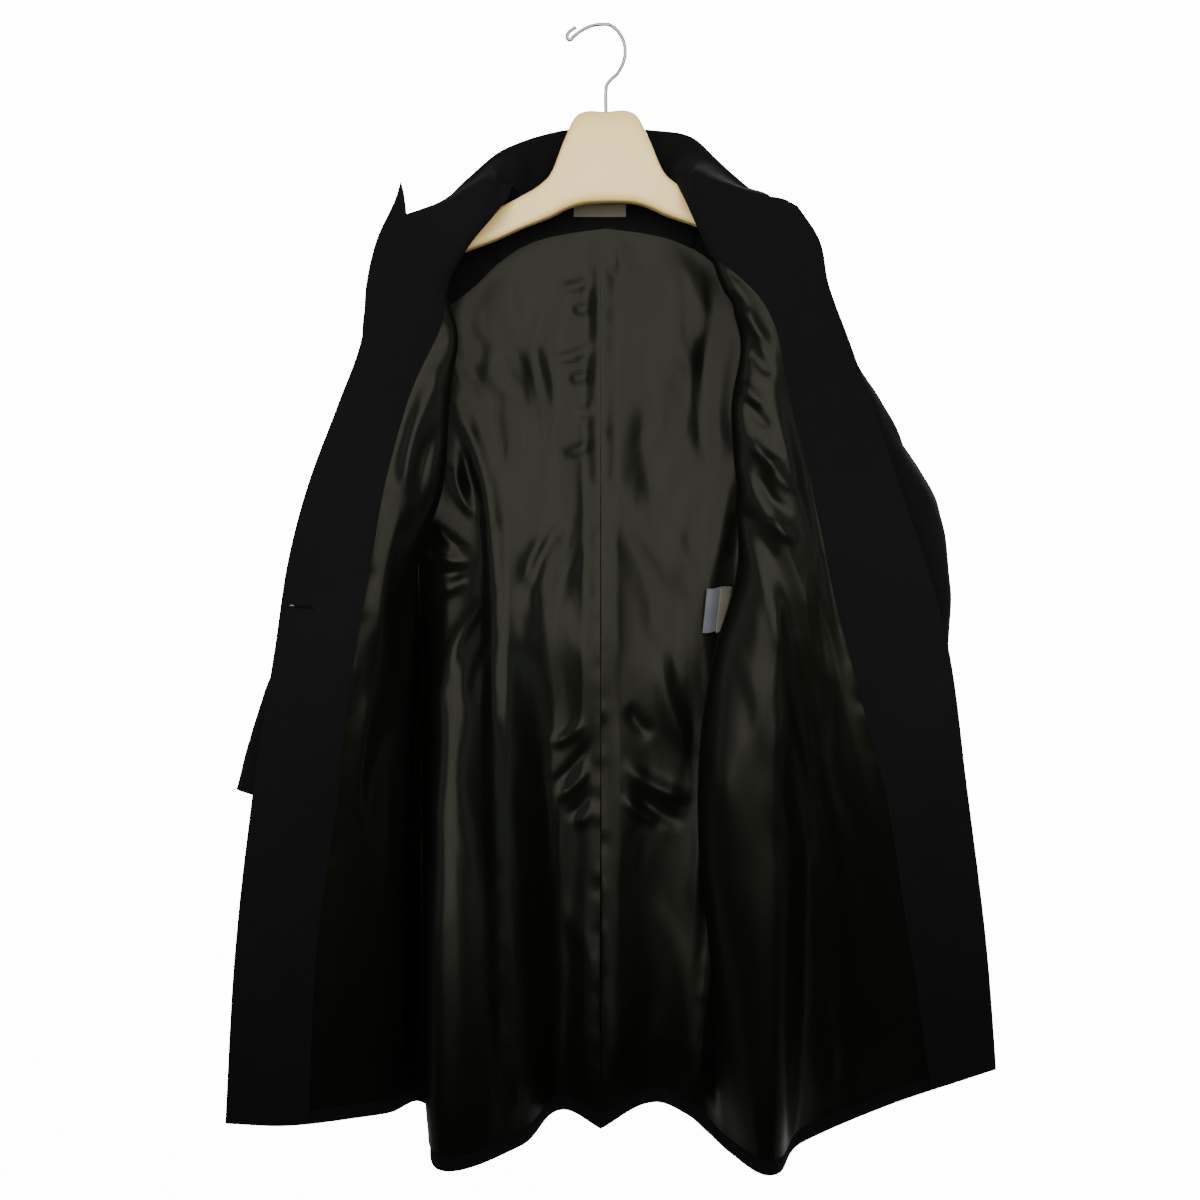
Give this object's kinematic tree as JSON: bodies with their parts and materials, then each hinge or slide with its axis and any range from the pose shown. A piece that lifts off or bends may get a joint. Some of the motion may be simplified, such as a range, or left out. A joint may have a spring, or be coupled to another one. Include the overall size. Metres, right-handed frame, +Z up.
{
  "type": "wool coat on a hanger",
  "caption": "Women's wool coat hung open on a broad plastic suit hanger, fronts swung back to show facings and satin lining.",
  "frame": {"origin": "inside top of the wire hook, where a rail carries it", "axes": "+Z up; -Y towards the viewer who looks into the open coat; +X towards the wearer's left side, across the shoulders"},
  "size_m": [0.7135, 0.139, 1.0563],
  "materials": {
    "black_wool": "black melton wool, milled and matt",
    "black_wool_inside": "the same wool, on the facings and the upper collar",
    "olive_black_satin": "polyester satin lining, olive black with a soft shine",
    "ivory_plastic": "moulded plastic, ivory, half gloss",
    "chromed_wire": "polished chrome plate on steel wire",
    "cream_label": "woven label cloth, bare",
    "grey_label": "grey satin label tape, bare",
    "black_button": "black polyester button, half gloss"
  },
  "bodies": {
    "root": {"back_right": "black_wool", "side_right": "black_wool", "front_right": "black_wool", "back_left": "black_wool", "side_left": "black_wool", "front_left": "black_wool", "upper_sleeve_right": "black_wool", "under_sleeve_right": "black_wool", "upper_sleeve_left": "black_wool", "under_sleeve_left": "black_wool", "under_collar": "black_wool", "facing_right": "black_wool_inside", "facing_left": "black_wool_inside", "back_neck_facing": "black_wool_inside", "upper_collar": "black_wool_inside", "lining_back_right": "olive_black_satin", "lining_side_right": "olive_black_satin", "lining_front_right": "olive_black_satin", "lining_back_left": "olive_black_satin", "lining_side_left": "olive_black_satin", "lining_front_left": "olive_black_satin", "hanger_body": "ivory_plastic", "hook": "chromed_wire", "button": "black_button", "neck_label": "cream_label", "care_label_back": "cream_label", "care_label_front": "grey_label"}
  },
  "joints": []
}
